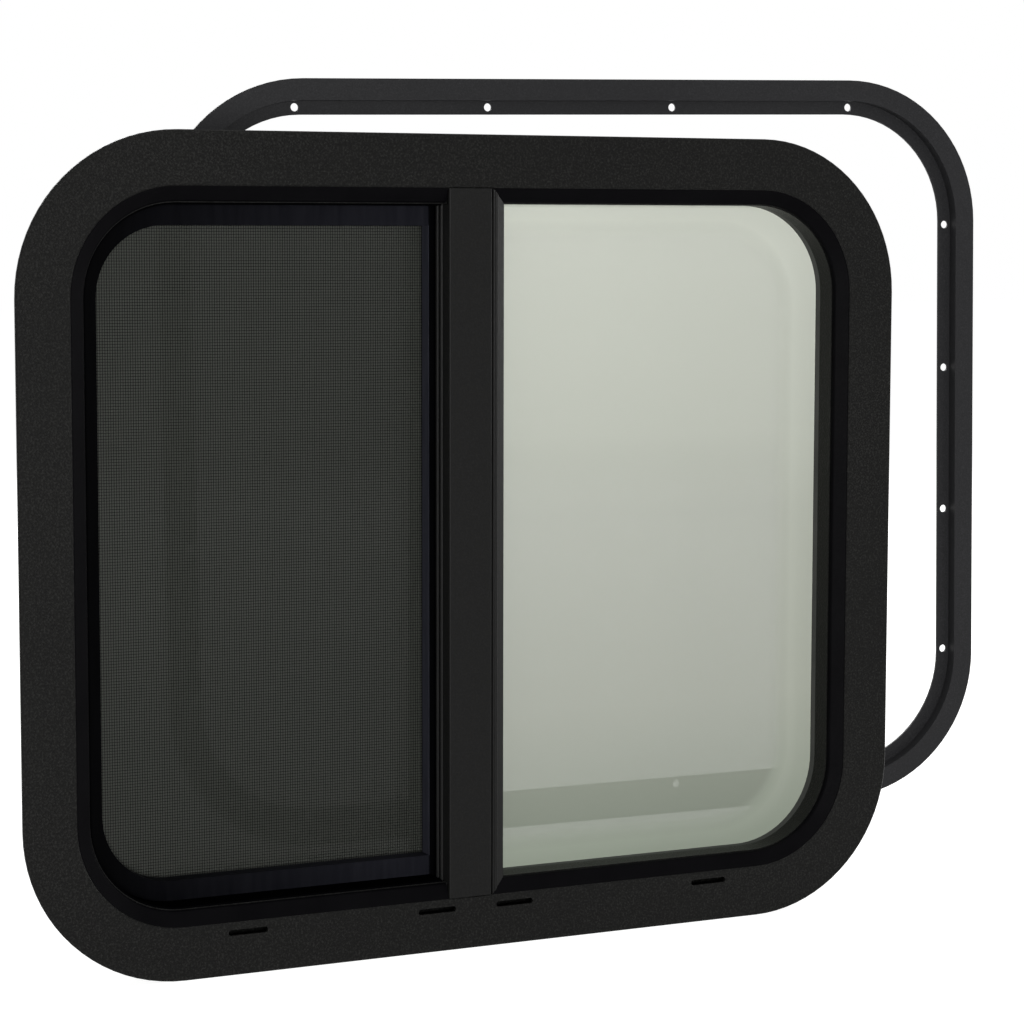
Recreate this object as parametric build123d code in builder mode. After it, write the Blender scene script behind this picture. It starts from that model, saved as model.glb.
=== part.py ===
"""Caravan sliding window, 21 x 18 inch, seen from outside with its vent bay on the left.

Millimetres. X runs to the right seen from outside, Y runs inward, Z is up. The origin lies on the
back of the outer flange, at the middle of its bottom overlap on the wall.
"""

import os

from build123d import *

os.makedirs("parts", exist_ok=True)

# Outer flange and the wall that it clamps
window_width = 533.4
window_height = 457.2
corner_radius = 88.9
wall_overlap = 12.7
wall_thick = 38.0
neck_clearance = 1.0
flange_thick = 2.0
edge_break = 0.6

# Frame extrusion: widths are measured inward from the outer edge
face_width = 29.5
front_opening = 38.2
track_bottom = 31.8
track_reach = 8.2
skin = 1.8
neck_skin = 2.0
fin = 1.5
rear_lip = 2.0

# Frame extrusion: depths are measured from the flange's back
shelf_depth = 4.5
reveal_depth = 17.5
front_pocket = 13.5
sash_track = 11.5
screw_slot = 3.0
screw_slot_depth = 11.0

# Drain slots in the bottom flange
weep_length = 23.0
weep_height = 3.2
weep_rise = 23.6
weep_places = (-141.8, -29.2, 18.9, 145.0)

# Mullion
mullion_centre = -8.7
mullion_face = 26.0
mullion_gap = 0.2
mullion_box = 15.5
spine_offset = 3.0
face_round = 0.8
rib_round = 1.2
rib_depths = (8.4, 14.0)
wing_groove = 0.9
wing_bead = 1.1
pile_width = 7.0
pile_height = 3.0

# Rubber seals, panes and their gaskets
seal_front = 0.5
seal_land = 0.6
seal_drop = 3.6
seal_foot = 0.5
seal_roll = 2.2
glass_thick = 4.0
glass_bite = 5.0
front_rubber = 5.0
edge_rubber = 1.4
vent_lining = 1.0
vent_end_gap = 1.6

# Insect screen
screen_bar = 17.2
screen_bar_thick = 9.3
screen_gap = 0.3
screen_edge_gap = 1.2
mesh_thick = 0.4
spline_groove = 3.0
spline_inset = 3.0

# Sliding sash
channel_skin = 1.8
channel_leg = 3.0
channel_joint = 20.0
sash_edge_gap = 0.8
stile_offset = 1.3
stile_width = 20.0
stile_skin = 1.8
stile_rubber = 1.2
stile_bite = 9.0
stile_end_gap = 1.0
pull_reach = 7.0
pull_lip = 4.0
latch_width = 12.0
latch_height = 46.0
latch_depth = 6.0
lever_width = 8.0
lever_height = 26.0
lever_depth = 5.0
latch_edge = 1.2
latch_corner = 2.4
running_gap = 0.3

# Inner clamp ring, and where it lies taken off
ring_skin = 1.5
ring_width = 21.0
ring_holes_in = 16.6
ring_hole = 4.8
ring_row_past_x = 3.3
ring_row_past_z = -2.1
ring_place = (126.0, 118.3, 38.5)
ring_turn = (0.0, -0.9, -5.15)

# Places worked out from the sizes above
centre_z = window_height / 2 - wall_overlap / 2
tangent_x = window_width / 2 - corner_radius
tangent_z = window_height / 2 - corner_radius
neck_inset = wall_overlap + neck_clearance
pocket_rear = reveal_depth + front_pocket
sash_front = pocket_rear + fin
sash_rear = sash_front + sash_track
neck_depth = sash_rear + rear_lip
track_edge = track_bottom + track_reach

shelf_width = front_opening - face_width
face_left = mullion_centre - mullion_face / 2
face_right = mullion_centre + mullion_face / 2
wing_left = face_right + wing_groove
wing_right = wing_left + shelf_width
spine_left = mullion_centre + spine_offset - skin / 2
spine_right = spine_left + skin

glass_edge = front_opening - glass_bite
glass_side = wing_right - glass_bite
pocket_side = glass_side - edge_rubber
glass_front = reveal_depth + front_rubber
glass_rear = glass_front + glass_thick

bar_rear = pocket_rear - screen_gap
bar_front = bar_rear - screen_bar_thick
bar_edge = track_bottom + screen_edge_gap
bar_inner = bar_edge + screen_bar
bar_side = spine_left - running_gap
bar_side_inner = bar_side - screen_bar
groove_front = bar_rear - spline_groove
groove_inner = bar_inner - spline_inset
groove_outer = groove_inner - spline_groove
groove_side_inner = bar_side_inner + spline_inset
groove_side_outer = groove_side_inner + spline_groove

sash_edge = track_bottom + channel_skin + sash_edge_gap
sash_glass_front = sash_front + (sash_track - glass_thick) / 2
sash_glass_rear = sash_glass_front + glass_thick
stile_left = mullion_centre - stile_width / 2 - stile_offset
stile_right = stile_left + stile_width
stile_front = sash_glass_front - stile_rubber - stile_skin
stile_rear = sash_glass_rear + stile_rubber + stile_skin
stile_half = window_height / 2 - track_edge - stile_end_gap
sash_side = stile_left + stile_bite
pile_rear = stile_front - running_gap
pile_seat = pile_rear - pile_height
stop_front = pile_seat - fin


def at_depth(depth):
    return Plane(origin=(0, depth, centre_z), x_dir=(1, 0, 0), z_dir=(0, -1, 0))


def at_height(height):
    return Plane(origin=(0, 0, centre_z + height), x_dir=(1, 0, 0), z_dir=(0, 0, 1))


def across_bottom(start):
    bottom = centre_z - window_height / 2
    return Plane(origin=(start, 0, bottom), x_dir=(0, 0, 1), z_dir=(-1, 0, 0))


def web(low_x, high_x, low_y, high_y, mode=Mode.ADD):
    with Locations(((low_x + high_x) / 2, (low_y + high_y) / 2)):
        Rectangle(high_x - low_x, high_y - low_y, mode=mode)


def right_rim(start):
    side = window_width / 2
    end = window_height / 2
    Line((start, -end), (tangent_x, -end))
    RadiusArc((tangent_x, -end), (side, -tangent_z), -corner_radius)
    Line((side, -tangent_z), (side, tangent_z))
    RadiusArc((side, tangent_z), (tangent_x, end), -corner_radius)
    Line((tangent_x, end), (start, end))


def bay_outline(side, inset, mullion_edge):
    reach = window_width / 2 - inset
    left, right = (-reach, mullion_edge) if side == "left" else (mullion_edge, reach)
    with BuildSketch() as outline:
        web(left, right, inset - window_height / 2, window_height / 2 - inset)
        jamb = outline.vertices().group_by(Axis.X)[0 if side == "left" else -1]
        fillet(jamb, corner_radius - inset)
    return outline.sketch


def ring_between(outer, inner, front, rear, mode=Mode.ADD):
    with BuildSketch(at_depth(rear)) as profile:
        add(outer)
        add(inner, mode=Mode.SUBTRACT)
    extrude(profile.sketch, amount=rear - front, mode=mode)


def plate(outline, front, rear):
    with BuildSketch(at_depth(rear)) as profile:
        add(outline)
    extrude(profile.sketch, amount=rear - front)


def mitre_block(clearance, mode):
    past = 2 * shelf_width
    top = window_height / 2 - face_width - clearance + past
    foot = top - past - shelf_width - past
    with BuildSketch(at_depth(pocket_rear)) as block:
        with BuildLine():
            Polyline(
                (wing_left - past, top),
                (wing_right + past, foot),
                (wing_right + past, -foot),
                (wing_left - past, -top),
                close=True,
            )
        make_face()
    extrude(block.sketch, amount=pocket_rear + 2 * flange_thick, mode=mode)


def save(piece, name, place=Location()):
    solid = piece.part.moved(place)
    solid.label = name
    export_step(solid, f"parts/{name}.step")


# Outer frame: one aluminium extrusion bent round the window
with BuildPart() as outer_frame:
    neck_inner = neck_inset + neck_skin
    slot_inner = neck_inner + screw_slot
    slot_front = neck_depth - screw_slot_depth
    with BuildLine(at_depth(0)):
        right_rim(0)
    with BuildSketch(across_bottom(0)) as frame_section:
        web(0, face_width, -flange_thick, 0)
        chamfer(frame_section.vertices().sort_by(Axis.Y)[:2], edge_break)
        web(face_width - skin, face_width, 0, shelf_depth)
        web(face_width - skin, front_opening, shelf_depth, shelf_depth + skin)
        web(front_opening - skin, front_opening, shelf_depth, reveal_depth)
        web(neck_inset, neck_inner, 0, neck_depth)
        web(neck_inset, front_opening, reveal_depth - skin, reveal_depth)
        web(track_bottom - skin, track_bottom, reveal_depth - skin, neck_depth)
        web(track_bottom - skin, track_edge, pocket_rear, sash_front)
        web(slot_inner, track_edge, sash_rear, neck_depth)
        web(slot_inner, slot_inner + skin, slot_front, neck_depth)
        web(neck_inset, slot_inner + skin, slot_front - skin, slot_front)
    sweep()
    mirror(about=Plane.YZ)
    with BuildSketch(at_depth(0)):
        with Locations(*[(x, weep_rise - window_height / 2) for x in weep_places]):
            SlotOverall(weep_length, weep_height)
    extrude(amount=flange_thick, mode=Mode.SUBTRACT)
save(outer_frame, "outer_frame")

# Mullion: a straight hollow extrusion, flush with the flange, with a sloping wing beside the pane
with BuildPart() as mullion_wing:
    wing_half = window_height / 2 - face_width
    slope_front = seal_front - flange_thick
    slope_rear = slope_front + seal_drop
    slope_edge = wing_right - seal_foot
    with BuildSketch(at_height(-wing_half)):
        with BuildLine():
            Polyline(
                (wing_left, slope_front),
                (wing_left + seal_land, slope_front),
                (slope_edge, slope_rear),
                (slope_edge, shelf_depth),
                (slope_edge - skin, shelf_depth),
                (wing_left + skin, skin),
                (wing_left, skin),
                close=True,
            )
        make_face()
        with Locations((wing_left + 2 * wing_bead, slope_front + wing_bead)):
            Circle(wing_bead)
    extrude(amount=2 * wing_half)
    mitre_block(mullion_gap, Mode.INTERSECT)

with BuildPart() as centre_mullion:
    face_half = window_height / 2 - face_width - mullion_gap
    body_half = window_height / 2 - front_opening - mullion_gap
    rear_half = window_height / 2 - track_edge - mullion_gap
    with BuildSketch(at_height(-face_half)) as face_section:
        web(face_left, face_right, -flange_thick, 0)
        fillet(face_section.vertices().sort_by(Axis.Y)[:2], face_round)
    extrude(amount=2 * face_half)
    with BuildSketch(at_height(-body_half)):
        web(face_left, face_left + skin, 0, mullion_box)
        web(face_left, spine_right, mullion_box - skin, mullion_box)
        web(face_right - skin, wing_left + skin, 0, skin)
        web(spine_left, spine_right, 0, reveal_depth)
        web(spine_left, wing_right, reveal_depth - skin, reveal_depth)
        web(wing_right - skin, wing_right, shelf_depth, reveal_depth)
        with Locations(*[(face_left, depth) for depth in rib_depths]):
            Circle(rib_round)
    extrude(amount=2 * body_half)
    with BuildSketch(at_height(-rear_half)):
        web(spine_left, spine_right, reveal_depth - skin, pile_seat)
        web(pocket_side - skin, pocket_side, reveal_depth - skin, pile_seat)
        web(spine_left, wing_right + fin, stop_front, pile_seat)
    extrude(amount=2 * rear_half)
    add(mullion_wing.part)
save(centre_mullion, "centre_mullion")

with BuildPart() as mullion_pile_seal:
    with BuildSketch(at_height(-stile_half)):
        web(spine_left, spine_left + pile_width, pile_seat, pile_seat + pile_height / 2)
        web(spine_right, spine_left + pile_width - skin, pile_seat, pile_rear)
    extrude(amount=2 * stile_half)
save(mullion_pile_seal, "mullion_pile_seal")

# Fixed pane in its rubber channel
fixed_outline = bay_outline("right", glass_edge, glass_side)
channel_outline = bay_outline("right", track_bottom, pocket_side)
with BuildPart() as fixed_glass:
    plate(fixed_outline, glass_front, glass_rear)
save(fixed_glass, "fixed_glass")

with BuildPart() as fixed_glass_gasket:
    front_lip = bay_outline("right", front_opening, wing_right)
    rear_leg = bay_outline("right", track_edge, wing_right + fin)
    rear_wedge = bay_outline("right", track_edge, pocket_side - track_reach)
    ring_between(channel_outline, front_lip, reveal_depth, glass_front)
    ring_between(channel_outline, fixed_outline, glass_front, glass_rear)
    ring_between(channel_outline, rear_leg, glass_rear, stop_front)
    ring_between(channel_outline, rear_wedge, stop_front, pocket_rear)
save(fixed_glass_gasket, "fixed_glass_gasket")


# Rubber bands that slope from the flange down into each bay
def sloping_seal(start):
    front = seal_front - flange_thick
    foot = front_opening - seal_foot
    with BuildLine(at_depth(0)) as rim:
        right_rim(start)
    with BuildSketch(across_bottom(start)) as seal_section:
        with BuildLine():
            Polyline(
                (face_width, shelf_depth),
                (face_width, front),
                (face_width + seal_land, front),
                (foot, front + seal_drop),
                (foot, shelf_depth),
                close=True,
            )
        make_face()
        fillet(seal_section.vertices().sort_by_distance((foot, front + seal_drop))[0], seal_roll)
    sweep(seal_section.sketch, path=rim.wire())


with BuildPart() as front_seal_right:
    sloping_seal(wing_left)
    mitre_block(0, Mode.SUBTRACT)
save(front_seal_right, "front_seal_right")

with BuildPart() as front_seal_left:
    sloping_seal(mullion_gap - face_left)
    mirror(about=Plane.YZ, mode=Mode.REPLACE)
save(front_seal_left, "front_seal_left")

# Rubber that lines the reveal of the vent bay and fills its pocket ahead of the screen
with BuildPart() as vent_bay_gasket:
    strip_rear = bar_front - screen_gap
    strip_end = face_left - vent_end_gap
    strip_past = strip_end + track_reach
    lining = bay_outline("left", front_opening + vent_lining, strip_past)
    reveal = bay_outline("left", front_opening, strip_end)
    pocket = bay_outline("left", track_bottom, strip_end)
    ring_between(reveal, lining, shelf_depth + running_gap, reveal_depth)
    ring_between(pocket, lining, reveal_depth, strip_rear)
save(vent_bay_gasket, "vent_bay_gasket")

# Insect screen: a bent bar, a straight stile, the mesh, and the cord that holds the mesh
mesh_outline = bay_outline("left", groove_inner, groove_side_inner)
cord_outline = bay_outline("left", groove_outer, groove_side_outer)
with BuildPart() as screen_hoop:
    ring_between(
        bay_outline("left", bar_edge, bar_side),
        bay_outline("left", bar_inner, bar_side + screen_bar),
        bar_front,
        bar_rear,
    )
    ring_between(cord_outline, mesh_outline, groove_front, bar_rear, mode=Mode.SUBTRACT)
save(screen_hoop, "screen_hoop")

with BuildPart() as screen_stile:
    stile_reach = window_height / 2 - bar_inner
    with BuildSketch(at_depth(bar_rear)):
        web(bar_side_inner, bar_side, -stile_reach, stile_reach)
    extrude(amount=screen_bar_thick)
    ring_between(cord_outline, mesh_outline, groove_front, bar_rear, mode=Mode.SUBTRACT)
save(screen_stile, "screen_stile")

with BuildPart() as screen_mesh:
    plate(mesh_outline, bar_rear, bar_rear + mesh_thick)
save(screen_mesh, "screen_mesh")

with BuildPart() as screen_spline:
    ring_between(cord_outline, mesh_outline, groove_front, bar_rear + mesh_thick)
save(screen_spline, "screen_spline")

# Sliding pane with its meeting stile, pull and latch
with BuildPart() as sash_glass:
    plate(bay_outline("left", sash_edge, sash_side), sash_glass_front, sash_glass_rear)
save(sash_glass, "sash_glass")

with BuildPart() as sash_stile_gasket:
    with BuildSketch(at_height(-stile_half)):
        web(
            stile_left,
            sash_side + stile_rubber,
            sash_glass_front - stile_rubber,
            sash_glass_rear + stile_rubber,
        )
        web(stile_left, sash_side, sash_glass_front, sash_glass_rear, mode=Mode.SUBTRACT)
    extrude(amount=2 * stile_half)
save(sash_stile_gasket, "sash_stile_gasket")

with BuildPart() as sash_meeting_stile:
    channel_front = sash_glass_front - stile_rubber
    channel_rear = sash_glass_rear + stile_rubber
    channel_side = sash_side + stile_rubber
    pull_rear = stile_rear + pull_reach
    with BuildSketch(at_height(-stile_half)):
        web(stile_left, stile_right, stile_front, stile_rear)
        web(stile_left, channel_side, channel_front, channel_rear, mode=Mode.SUBTRACT)
        web(
            channel_side + stile_skin,
            stile_right - stile_skin,
            channel_front,
            channel_rear,
            mode=Mode.SUBTRACT,
        )
        web(stile_left, stile_left + stile_skin, stile_rear, pull_rear)
        web(stile_left - pull_lip, stile_left + stile_skin, pull_rear - stile_skin, pull_rear)
    extrude(amount=2 * stile_half)
save(sash_meeting_stile, "sash_meeting_stile")

latch_x = stile_right - latch_width / 2 - latch_edge
with BuildPart() as sash_latch_body:
    with BuildSketch(at_depth(stile_rear + latch_depth)):
        with Locations((latch_x, 0)):
            Rectangle(latch_width, latch_height)
    extrude(amount=latch_depth)
    chamfer(sash_latch_body.edges().filter_by(Axis.Y), latch_corner)
    chamfer(sash_latch_body.faces().sort_by(Axis.Y)[-1].edges(), latch_edge)
save(sash_latch_body, "sash_latch_body")

with BuildPart() as sash_latch_lever:
    lever_rear = stile_rear + latch_depth + lever_depth
    with BuildSketch(at_depth(lever_rear)):
        with Locations((latch_x, 0)):
            Rectangle(lever_width, lever_height)
    extrude(amount=lever_depth)
    chamfer(sash_latch_lever.edges().filter_by(Axis.Y), latch_corner)
    chamfer(sash_latch_lever.faces().sort_by(Axis.Y)[-1].edges(), latch_edge)
save(sash_latch_lever, "sash_latch_lever")

# Lined channels that the sliding pane runs in
with BuildPart() as run_channel_jamb:
    channel_end = channel_joint - tangent_x
    past_end = channel_end + track_reach
    back_outline = bay_outline("left", track_bottom, channel_end)
    back_wall = bay_outline("left", track_bottom + channel_skin, past_end)
    leg = bay_outline("left", track_edge, past_end)
    ring_between(back_outline, back_wall, sash_front, sash_rear)
    ring_between(back_outline, leg, sash_front, sash_front + channel_leg)
    ring_between(back_outline, leg, sash_rear - channel_leg, sash_rear)
save(run_channel_jamb, "run_channel_jamb")

for place, way in (("top", 1), ("bottom", -1)):
    with BuildPart() as run_channel:
        start_x = channel_joint - tangent_x
        across = Plane(origin=(start_x, 0, centre_z), x_dir=(0, 1, 0), z_dir=(1, 0, 0))
        outer = way * (window_height / 2 - track_bottom)
        base = way * (window_height / 2 - track_bottom - channel_skin)
        tip = way * (window_height / 2 - track_edge)
        with BuildSketch(across):
            web(sash_front, sash_rear, min(outer, base), max(outer, base))
            web(sash_front, sash_front + channel_leg, min(outer, tip), max(outer, tip))
            web(sash_rear - channel_leg, sash_rear, min(outer, tip), max(outer, tip))
        extrude(amount=tangent_x - start_x)
    save(run_channel, f"run_channel_{place}")

# Clamp ring: a stepped trim that screws to the frame from inside
with BuildPart() as clamp_ring:
    ring_step = neck_depth - wall_thick
    with BuildLine(at_depth(0)):
        right_rim(0)
    with BuildSketch(across_bottom(0)):
        web(0, wall_overlap, 0, ring_skin)
        web(wall_overlap - ring_skin, wall_overlap, 0, ring_step + ring_skin)
        web(wall_overlap - ring_skin, ring_width, ring_step, ring_step + ring_skin)
    sweep()
    mirror(about=Plane.YZ)
    rows_z = window_height / 2 - ring_holes_in
    rows_x = window_width / 2 - ring_holes_in
    row_half_x = tangent_x + ring_row_past_x
    row_half_z = tangent_z + ring_row_past_z
    top_holes = [(x, z) for z in (-rows_z, rows_z) for x in (-1, -1 / 3, 1 / 3, 1)]
    side_holes = [(x, z) for x in (-rows_x, rows_x) for z in (-1, -1 / 3, 1 / 3, 1)]
    with BuildSketch(at_depth(ring_step + ring_skin)):
        with Locations(*[(x * row_half_x, z) for x, z in top_holes]):
            Circle(ring_hole / 2)
        with Locations(*[(x, z * row_half_z) for x, z in side_holes]):
            Circle(ring_hole / 2)
    extrude(amount=ring_skin, mode=Mode.SUBTRACT)
ring_centre = Location((0, 0, centre_z))
taken_off = ring_centre * Location(ring_place, ring_turn) * ring_centre.inverse()
save(clamp_ring, "clamp_ring", taken_off)
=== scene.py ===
import math

import bpy
import numpy as np
from mathutils import Euler, Matrix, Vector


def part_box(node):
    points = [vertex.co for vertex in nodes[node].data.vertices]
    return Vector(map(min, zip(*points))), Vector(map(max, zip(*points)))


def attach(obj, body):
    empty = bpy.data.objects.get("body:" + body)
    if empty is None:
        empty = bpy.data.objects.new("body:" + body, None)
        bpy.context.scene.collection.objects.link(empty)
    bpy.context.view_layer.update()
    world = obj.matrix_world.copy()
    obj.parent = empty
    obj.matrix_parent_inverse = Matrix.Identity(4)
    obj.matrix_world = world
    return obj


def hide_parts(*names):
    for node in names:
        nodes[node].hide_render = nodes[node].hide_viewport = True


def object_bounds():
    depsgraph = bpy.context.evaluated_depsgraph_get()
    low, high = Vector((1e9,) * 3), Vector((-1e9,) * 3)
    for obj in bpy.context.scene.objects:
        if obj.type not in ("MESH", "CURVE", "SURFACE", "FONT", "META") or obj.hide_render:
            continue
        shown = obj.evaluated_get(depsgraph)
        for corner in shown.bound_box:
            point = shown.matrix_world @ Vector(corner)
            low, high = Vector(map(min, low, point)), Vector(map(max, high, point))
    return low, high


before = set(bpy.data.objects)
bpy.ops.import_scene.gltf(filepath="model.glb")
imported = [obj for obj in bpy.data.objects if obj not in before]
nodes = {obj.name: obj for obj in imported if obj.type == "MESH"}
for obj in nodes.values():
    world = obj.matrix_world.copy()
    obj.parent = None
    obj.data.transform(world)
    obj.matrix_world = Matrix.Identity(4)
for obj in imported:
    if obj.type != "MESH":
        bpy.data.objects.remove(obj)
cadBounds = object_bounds()
scene = bpy.context.scene
scene.view_settings.view_transform = "Standard"
print("frame loaded,", len(nodes), "nodes")

noiseSpan = (0.3, 0.7)  # most of a noise's values lie between these
white = (1.0, 1.0, 1.0, 1.0)


# small helpers for the material trees
def addNode(tree, kind, settings=None, **inputs):
    node = tree.nodes.new(kind)
    for key, value in (settings or {}).items():
        setattr(node, key, value)
    for key, value in inputs.items():
        node.inputs[key].default_value = value
    return node


def startMaterial(name):
    material = bpy.data.materials.new(name)
    material.use_nodes = True
    tree = material.node_tree
    tree.nodes.clear()
    output = tree.nodes.new("ShaderNodeOutputMaterial")
    shader = tree.nodes.new("ShaderNodeBsdfPrincipled")
    tree.links.new(shader.outputs["BSDF"], output.inputs["Surface"])
    place = tree.nodes.new("ShaderNodeTexCoord").outputs["Object"]
    return material, tree, shader, place


def noiseAt(tree, place, grain, detail=3.0, rough=0.55, stretch=None):
    if stretch:
        mapping = addNode(tree, "ShaderNodeMapping", Scale=stretch)
        tree.links.new(place, mapping.inputs["Vector"])
        place = mapping.outputs["Vector"]
    noise = addNode(tree, "ShaderNodeTexNoise", Scale=1.0 / grain, Detail=detail, Roughness=rough)
    tree.links.new(place, noise.inputs["Vector"])
    return noise.outputs["Fac"]


def rampBetween(tree, value, stops):
    ramp = tree.nodes.new("ShaderNodeValToRGB")
    while len(ramp.color_ramp.elements) < len(stops):
        ramp.color_ramp.elements.new(0.5)
    for element, (spot, colour) in zip(ramp.color_ramp.elements, stops):
        element.position = spot
        element.color = (*colour, 1.0)
    tree.links.new(value, ramp.inputs["Fac"])
    return ramp.outputs["Color"]


def darkToLight(tree, noise, look, span=noiseSpan):
    return rampBetween(tree, noise, ((span[0], look["dark"]), (span[1], look["light"])))


def spread(tree, value, low, high, fromLow=noiseSpan[0], fromHigh=noiseSpan[1]):
    node = addNode(tree, "ShaderNodeMapRange")
    ends = {"From Min": fromLow, "From Max": fromHigh, "To Min": low, "To Max": high}
    for key, number in ends.items():
        node.inputs[key].default_value = number
    tree.links.new(value, node.inputs["Value"])
    return node.outputs["Result"]


def bumpFrom(tree, height, strength, distance):
    bump = addNode(tree, "ShaderNodeBump", Strength=strength, Distance=distance)
    tree.links.new(height, bump.inputs["Height"])
    return bump.outputs["Normal"]


def axesOf(tree, place):
    split = tree.nodes.new("ShaderNodeSeparateXYZ")
    tree.links.new(place, split.inputs["Vector"])
    return split.outputs


def scaled(tree, colour, share):
    node = addNode(tree, "ShaderNodeVectorMath", {"operation": "SCALE"})
    tree.links.new(colour, node.inputs["Vector"])
    tree.links.new(share, node.inputs["Scale"])
    return node.outputs["Vector"]


def reckon(tree, operation, *values):  # each value is a number or another node's output
    step = addNode(tree, "ShaderNodeMath", {"operation": operation})
    for spot, value in zip(step.inputs, values):
        if isinstance(value, float):
            spot.default_value = value
        else:
            tree.links.new(value, spot)
    return step.outputs[0]


def finishWith(tree, shader, look, colour, grain):  # the grain gives the gloss its breaks
    tree.links.new(colour, shader.inputs["Base Color"])
    tree.links.new(spread(tree, grain, *look["rough"]), shader.inputs["Roughness"])
    if "bump" in look:
        tree.links.new(bumpFrom(tree, grain, *look["bump"]), shader.inputs["Normal"])
    shader.inputs["Specular IOR Level"].default_value = look["gloss"]


def dress(material, *names):
    for name in names:
        for slot in nodes[name].material_slots:
            slot.material = material


# powder coat on the frame, the mullion, the sash stile and the clamp ring
frameCoat = {
    "dark": (0.0052, 0.0052, 0.0049),
    "base": (0.0075, 0.0075, 0.0071),
    "fleck": (0.0184, 0.0184, 0.0173),
    "steps": (-0.16, 0.02, 0.20),  # where those three lie, from the noise's mean
    "grain": 0.0011,  # metres across one pit of the sprayed coat
    "cloud": 0.11,
    "drift": 0.12,  # share of the slow cloud in the colour
    "bump": (0.9, 0.0002),  # strength, and depth in metres
    "rough": (0.34, 0.52),
    "gloss": 0.07,
}
mullionCoat = dict(  # drawn smoother than the bent frame
    frameCoat,
    dark=(0.0092, 0.0092, 0.0090),
    base=(0.0103, 0.0103, 0.0101),
    fleck=(0.0126, 0.0126, 0.0123),
    bump=(0.9, 0.00006),
)
ringCoat = dict(
    mullionCoat,
    dark=(0.0155, 0.0155, 0.0166),
    base=(0.0188, 0.0188, 0.0202),
    fleck=(0.0270, 0.0270, 0.0287),
    grain=0.0009,
    cloud=0.09,
    drift=0.2,
    rough=(0.42, 0.58),
    gloss=0.12,
)


def powderCoat(name, look):
    material, tree, shader, place = startMaterial(name)
    pits = noiseAt(tree, place, look["grain"], detail=2.0, rough=0.5)
    cloud = noiseAt(tree, place, look["cloud"], detail=1.0)
    mixed = reckon(tree, "MULTIPLY_ADD", cloud, look["drift"], pits)
    mean = 0.5 + 0.5 * look["drift"]  # each noise averages a half
    tones = (look["dark"], look["base"], look["fleck"])
    colour = rampBetween(tree, mixed, [(mean + s, tone) for s, tone in zip(look["steps"], tones)])
    finishWith(tree, shader, look, colour, pits)
    return material


dress(powderCoat("framePowderCoat", frameCoat), "outer_frame", "sash_meeting_stile")
dress(powderCoat("mullionPowderCoat", mullionCoat), "centre_mullion")
dress(powderCoat("ringPowderCoat", ringCoat), "clamp_ring")
print("powder coats done")

# smooth blue-black paint on the roll-formed screen bars, with painted shade along them
screenPaintAndShade = {
    "dark": (0.0088, 0.0091, 0.0122),
    "light": (0.0130, 0.0133, 0.0172),
    "streak": 0.004,
    "stretch": (1.0, 1.0, 0.12),  # the streaks run up and down
    "bump": (0.25, 0.00003),
    "rough": (0.34, 0.46),
    "gloss": 0.012,
    # painted shade: way from the jamb side, and share of the paint colour there; nearly black by
    # the jamb, lighter towards the far end, dark again at that end
    "fade": ((0.087, 0.06), (0.90, 1.12), (0.923, 1.12), (0.926, 0.10)),
}
# painted highlight on the edge by the cloth, painted shade over the face by the mullion
stilePaintAndShading = dict(screenPaintAndShade, fade=((0.006, 3.6), (0.018, 0.10)))


def barPaintAndShading(name, node, look):
    material, tree, shader, place = startMaterial(name)
    streak = noiseAt(tree, place, look["streak"], detail=3.0, stretch=look["stretch"])
    colour = darkToLight(tree, streak, look)
    low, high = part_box(node)
    along = spread(tree, axesOf(tree, place)["X"], 0.0, 1.0, low.x, high.x)
    # painted shade along the bar, and on the stile a painted highlight on its edge, as a share of
    # the paint colour
    strength = rampBetween(tree, along, [(spot, (share,) * 3) for spot, share in look["fade"]])
    finishWith(tree, shader, look, scaled(tree, colour, strength), streak)
    return material


dress(barPaintAndShading("screenHoopPaintAndShade", "screen_hoop", screenPaintAndShade), "screen_hoop")
dress(barPaintAndShading("screenStilePaintAndShading", "screen_stile", stilePaintAndShading), "screen_stile")

# extruded rubber of the seals, gaskets and the cord in the screen
sealRubber = {
    "dark": (0.0013, 0.0012, 0.0016),
    "light": (0.0024, 0.0023, 0.0028),
    "span": (0.32, 0.68),  # of the bloom's noise, from dark to light
    "grain": 0.0006,
    "bloom": 0.03,
    "bump": (0.5, 0.00004),
    "rough": (0.45, 0.62),
    "gloss": 0.022,
}
pocketRubber = dict(
    sealRubber, dark=(0.0008, 0.0008, 0.0010), light=(0.0014, 0.0014, 0.0017), gloss=0.0
)
gasketRubber = dict(
    sealRubber, dark=(0.052, 0.053, 0.051), light=(0.072, 0.073, 0.070), gloss=0.1
)


def rubber(name, look):
    material, tree, shader, place = startMaterial(name)
    bloom = noiseAt(tree, place, look["bloom"], detail=5.0)
    grain = noiseAt(tree, place, look["grain"], detail=2.0)
    finishWith(tree, shader, look, darkToLight(tree, bloom, look, look["span"]), grain)
    return material


sealNodes = ("front_seal_left", "front_seal_right", "screen_spline", "sash_stile_gasket")
dress(rubber("sealRubber", sealRubber), *sealNodes)
dress(rubber("pocketRubber", pocketRubber), "vent_bay_gasket")
dress(rubber("gasketRubber", gasketRubber), "fixed_glass_gasket")
print("paint and rubber done")
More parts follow.
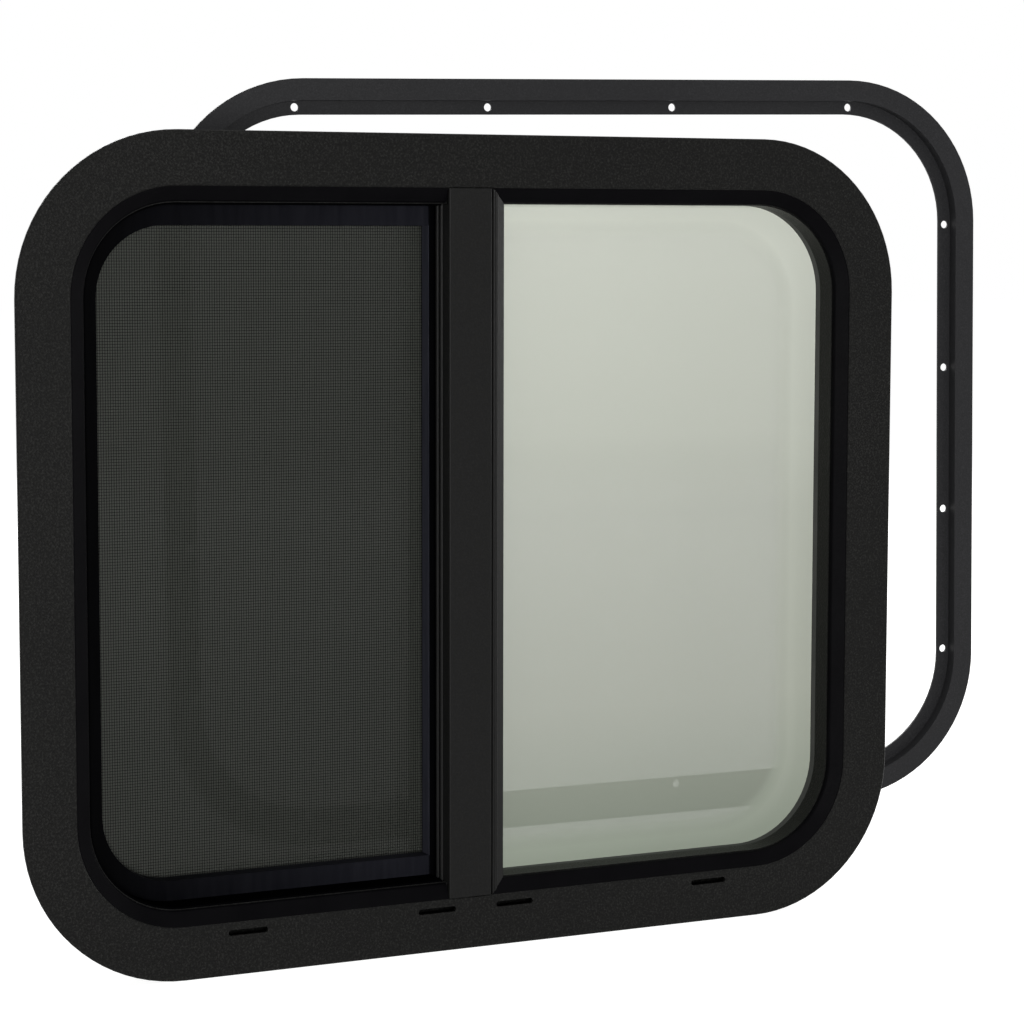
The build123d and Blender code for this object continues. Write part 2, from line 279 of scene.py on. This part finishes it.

# panes: on the fixed one a pale tint with a painted hazy reflection over it, a deep tint on the
# sliding one
fixedTintAndReflection = {
    "stops": (  # from the foot of the pane to its head; tint with painted reflection and painted light against shade, paler towards the head
        (0.03, (0.322, 0.360, 0.294)),
        (0.245, (0.440, 0.463, 0.396)),
        (0.53, (0.500, 0.523, 0.456)),
        (0.65, (0.610, 0.637, 0.558)),
        (0.93, (0.716, 0.745, 0.660)),
        (0.96, (0.705, 0.734, 0.650)),
    ),
    "solid": (0.75, 0.975),  # in the middle and by the edge
    # widths of the denser edge band of the painted reflection, and round of its inner line
    "veil": {"side": 0.0205, "foot": 0.0135, "corner": 0.050},
    "ramp": (0.010, 0.0),  # metres inside that line where that band starts to grow denser and is full
    "pale": ((0.53, 0.13), (0.66, 0.04)),  # painted light against the reveal's shade: how much paler it is there, by the rise up the pane
    "paleRamp": (0.012, 0.007),  # metres again, for its paler colour
    "film": 0.09,  # metres across a smear
    "rough": (0.05, 0.09),
    "gloss": 0.1,
    "index": 1.52,
}
sashTint = {
    "stops": ((0.0, (0.074, 0.079, 0.069)), (1.0, (0.081, 0.086, 0.076))),
    "solid": (0.925, 0.935),  # the smears make it vary
    "film": 0.09,
    "rough": (0.05, 0.09),
    "gloss": 0.05,
    "index": 1.52,
}


# metres past the middle of the inner line's round right corners
def edgeVeil(tree, axes, low, high, veil):
    corner = veil["corner"]
    past = tree.nodes.new("ShaderNodeCombineXYZ")
    across = reckon(tree, "SUBTRACT", axes["X"], high.x - veil["side"] - corner)
    upDown = reckon(tree, "ABSOLUTE", reckon(tree, "SUBTRACT", axes["Z"], (low.z + high.z) / 2))
    upDown = reckon(tree, "SUBTRACT", upDown, (high.z - low.z) / 2 - veil["foot"] - corner)
    tree.links.new(reckon(tree, "MAXIMUM", across, 0.0), past.inputs["X"])
    tree.links.new(reckon(tree, "MAXIMUM", upDown, 0.0), past.inputs["Z"])
    length = addNode(tree, "ShaderNodeVectorMath", {"operation": "LENGTH"})
    tree.links.new(past.outputs["Vector"], length.inputs[0])
    return length.outputs["Value"]


def paneGlass(name, node, look):
    material, tree, shader, place = startMaterial(name)
    low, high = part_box(node)
    axes = axesOf(tree, place)
    rise = spread(tree, axes["Z"], 0.0, 1.0, low.z, high.z)
    tint = rampBetween(tree, rise, look["stops"])
    film = noiseAt(tree, place, look["film"], detail=2.0)
    if "veil" in look:
        veil, corner = edgeVeil(tree, axes, low, high, look["veil"]), look["veil"]["corner"]
        solid = spread(tree, veil, *look["solid"], *(corner - inside for inside in look["ramp"]))
        grown = spread(tree, veil, 0.0, 1.0, *(corner - inside for inside in look["paleRamp"]))
        (below, paleBelow), (above, paleAbove) = look["pale"]
        paler = spread(tree, rise, paleBelow, paleAbove, below, above)
        # painted light: paler by the edges, where the reveal shades the pane
        tint = scaled(tree, tint, reckon(tree, "MULTIPLY_ADD", paler, grown, 1.0))
    else:
        solid = spread(tree, film, *look["solid"])
    finishWith(tree, shader, look, tint, film)
    tree.links.new(solid, shader.inputs["Alpha"])
    shader.inputs["IOR"].default_value = look["index"]
    return material


dress(paneGlass("fixedPaneTintAndReflection", "fixed_glass", fixedTintAndReflection), "fixed_glass")
dress(paneGlass("sashPaneTint", "sash_glass", sashTint), "sash_glass")
print("panes done")

# flocked channels, woven pile and moulded latch on the inside
flockLining = {
    "dark": (0.006, 0.006, 0.006),
    "light": (0.016, 0.016, 0.016),
    "fibre": 0.0004,
    "stretch": (1.0, 1.0, 1.0),
    "bump": (0.8, 0.0002),
    "rough": 0.9,
    "sheen": 0.25,
}
weatherPile = dict(
    flockLining,
    dark=(0.012, 0.012, 0.012),
    light=(0.04, 0.04, 0.04),
    fibre=0.0003,
    stretch=(1.0, 0.15, 1.0),  # its hairs lie across the gap
)
latchPlastic = {
    "dark": (0.010, 0.010, 0.010),
    "light": (0.016, 0.016, 0.016),
    "spark": 0.0007,
    "bump": (0.4, 0.00005),
    "rough": (0.38, 0.52),
    "gloss": 0.5,
}


def fibres(name, look):
    material, tree, shader, place = startMaterial(name)
    hairs = noiseAt(tree, place, look["fibre"], detail=4.0, stretch=look["stretch"])
    tree.links.new(darkToLight(tree, hairs, look), shader.inputs["Base Color"])
    tree.links.new(bumpFrom(tree, hairs, *look["bump"]), shader.inputs["Normal"])
    shader.inputs["Roughness"].default_value = look["rough"]
    shader.inputs["Sheen Weight"].default_value = look["sheen"]
    return material


def mouldedPlastic(look):
    material, tree, shader, place = startMaterial("latchPlastic")
    spark = noiseAt(tree, place, look["spark"], detail=2.0)
    finishWith(tree, shader, look, darkToLight(tree, spark, look), spark)
    return material


channelNodes = ("run_channel_jamb", "run_channel_top", "run_channel_bottom")
dress(fibres("flockLining", flockLining), *channelNodes)
dress(fibres("weatherPile", weatherPile), "mullion_pile_seal")
dress(mouldedPlastic(latchPlastic), "sash_latch_body", "sash_latch_lever")
print("linings and latch done")

# insect cloth, woven from real threads in place of the plain sheet
insectCloth = {
    "across": 0.0254 / 18,  # pitch of the upright threads
    "up": 0.0254 / 16,  # pitch of the level threads
    "thread": 0.00016,
    "crimp": 0.00007,
    "sides": 3,
    "corner": 0.0417,  # round of the two jamb corners
    "dark": (0.0030, 0.0031, 0.0029),
    "light": (0.0070, 0.0072, 0.0066),
    "coat": 0.0009,
    "rough": (0.75, 0.9),
    "gloss": 0.0,  # dull coated yarn
}


def threadPaint(look):
    material, tree, shader, place = startMaterial("clothThread")
    coat = noiseAt(tree, place, look["coat"], detail=2.0)
    finishWith(tree, shader, look, darkToLight(tree, coat, look), coat)
    return material


# how far the round corner cuts a thread short, by how deep in the corner it runs
def cutByCorner(deep, corner):
    return corner - math.sqrt(corner**2 - max(deep, 0.0) ** 2)


def weaveThreads(name, paths, sideWay, look):
    sides = look["sides"]
    turns = np.arange(sides) * 2 * math.pi / sides
    acrossCloth = np.outer(np.cos(turns), sideWay)
    throughCloth = np.outer(np.sin(turns), (0.0, 1.0, 0.0))
    section = look["thread"] * (acrossCloth + throughCloth)
    points, faces, count = [], [], 0
    for path in paths:
        points.append((path[:, None, :] + section[None, :, :]).reshape(-1, 3))
        rings = count + sides * np.arange(len(path))
        near, far = rings[:-1], rings[1:]
        for k in range(sides):
            m = (k + 1) % sides
            faces += np.stack((near + k, near + m, far + m, far + k), axis=1).tolist()
        faces.append([int(rings[0]) + k for k in reversed(range(sides))])
        faces.append([int(rings[-1]) + k for k in range(sides)])
        count += sides * len(path)
    mesh = bpy.data.meshes.new(name)
    mesh.from_pydata(np.concatenate(points).tolist(), [], faces)
    mesh.validate()
    piece = bpy.data.objects.new(name, mesh)
    scene.collection.objects.link(piece)
    return piece


def weaveCloth(look):
    low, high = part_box("screen_mesh")
    middle = (low.y + high.y) / 2
    corner = look["corner"]
    columns = np.arange(low.x + look["across"] / 2, high.x, look["across"])
    rows = np.arange(low.z + look["up"] / 2, high.z, look["up"])

    def crimped(i, j):  # an upright lies this way off the middle at a crossing, a level the other
        return look["crimp"] * (-1) ** (i + j)

    uprights, levels = [], []
    for i, x in enumerate(columns):
        cut = cutByCorner(low.x + corner - x, corner)
        foot, head = low.z + cut, high.z - cut
        crossed = [(x, middle + crimped(i, j), z) for j, z in enumerate(rows) if foot < z < head]
        uprights.append(np.array([(x, middle, foot), *crossed, (x, middle, head)]))
    for j, z in enumerate(rows):
        start = low.x + cutByCorner(max(low.z + corner - z, z - high.z + corner), corner)
        crossed = [(x, middle - crimped(i, j), z) for i, x in enumerate(columns) if start < x]
        levels.append(np.array([(start, middle, z), *crossed, (high.x, middle, z)]))
    paint = threadPaint(look)
    lays = (("clothUprights", uprights, (1, 0, 0)), ("clothLevels", levels, (0, 0, 1)))
    for name, paths, sideWay in lays:
        piece = weaveThreads(name, paths, sideWay, look)
        piece.data.materials.append(paint)
        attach(piece, "root")
        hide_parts("screen_mesh")
    return len(columns), len(rows)


print("cloth woven, threads", weaveCloth(insectCloth))

# pale floor under the window; seen directly it fades to white and keeps the shadow
paleFloor = {
    "dark": (0.490, 0.490, 0.4802),
    "light": (0.50, 0.50, 0.49),
    "mottle": 0.4,
    "rough": 0.9,
    "gloss": 0.0,
    "reach": 12.0,
    "glow": 0.92,
}


def seenDirectly(tree):  # one for rays from the camera, a reflection or through glass
    path = tree.nodes.new("ShaderNodeLightPath")
    total = path.outputs["Is Camera Ray"]
    for other in ("Is Glossy Ray", "Is Transmission Ray"):
        total = reckon(tree, "MAXIMUM", total, path.outputs[other])
    return total


def layFloor(look):
    lowest = cadBounds[0].z
    ways = ((-1, -1), (1, -1), (1, 1), (-1, 1))
    corners = [(x * look["reach"], y * look["reach"], lowest) for x, y in ways]
    mesh = bpy.data.meshes.new("paleFloor")
    mesh.from_pydata(corners, [], [(0, 1, 2, 3)])
    floor = bpy.data.objects.new("paleFloor", mesh)
    scene.collection.objects.link(floor)
    material, tree, shader, place = startMaterial("paleFloor")
    mottle = noiseAt(tree, place, look["mottle"], detail=2.0)
    tree.links.new(darkToLight(tree, mottle, look), shader.inputs["Base Color"])
    shader.inputs["Roughness"].default_value = look["rough"]
    shader.inputs["Specular IOR Level"].default_value = look["gloss"]
    shader.inputs["Emission Color"].default_value = white
    glow = spread(tree, seenDirectly(tree), 0.0, look["glow"], 0.0, 1.0)
    tree.links.new(glow, shader.inputs["Emission Strength"])
    mesh.materials.append(material)


layFloor(paleFloor)

# soft studio light
studio = {
    "ambient": 0.17,
    "lamps": {
        # from beside the camera
        "keyLamp": {"place": (-0.98, -3.05, 0.34), "size": 0.7, "power": 68.0},
        # these two graze the front, for what faces right and what faces up
        "fillLamp": {"place": (3.0, -0.27, 0.35), "size": 0.9, "power": 35.0},
        "topLamp": {"place": (0.0, -0.35, 2.9), "size": 0.9, "power": 15.0},
        "backLamp": {"place": (0.6, 2.4, 1.6), "size": 1.8, "power": 66.0},
    },
}


def lightStudio(look):
    world = bpy.data.worlds.new("studio")
    scene.world = world
    world.use_nodes = True
    tree = world.node_tree
    back = tree.nodes["Background"]
    back.inputs["Color"].default_value = white
    strength = spread(tree, seenDirectly(tree), look["ambient"], 1.0, 0.0, 1.0)
    tree.links.new(strength, back.inputs["Strength"])
    middle = (cadBounds[0] + cadBounds[1]) / 2
    for name, lamp in look["lamps"].items():
        data = bpy.data.lights.new(name, "AREA")
        data.size = lamp["size"]
        data.energy = lamp["power"]
        piece = bpy.data.objects.new(name, data)
        scene.collection.objects.link(piece)
        piece.location = lamp["place"]
        piece.rotation_euler = (middle - piece.location).to_track_quat("-Z", "Y").to_euler()


lightStudio(studio)
print("floor and light done")

# camera at the photograph's angle
photoCamera = {
    "place": (-0.6657, -1.4450, 0.3992),
    "yaw": 25.31,
    "pitch": -5.67,
    "roll": 0.11,
    "lens": 100.42,
    "sensor": 36.0,
    "farClip": 60.0,
}


def aimCamera(look):
    data = bpy.data.cameras.new("photoCamera")
    data.lens = look["lens"]
    data.sensor_width = look["sensor"]
    data.clip_end = look["farClip"]
    camera = bpy.data.objects.new("photoCamera", data)
    scene.collection.objects.link(camera)
    camera.location = look["place"]
    level = Euler((math.radians(90.0 + look["pitch"]), 0.0, math.radians(-look["yaw"])))
    rolled = level.to_matrix() @ Matrix.Rotation(math.radians(look["roll"]), 3, "Z")
    camera.rotation_euler = rolled.to_euler()
    scene.camera = camera


aimCamera(photoCamera)
print("camera set")
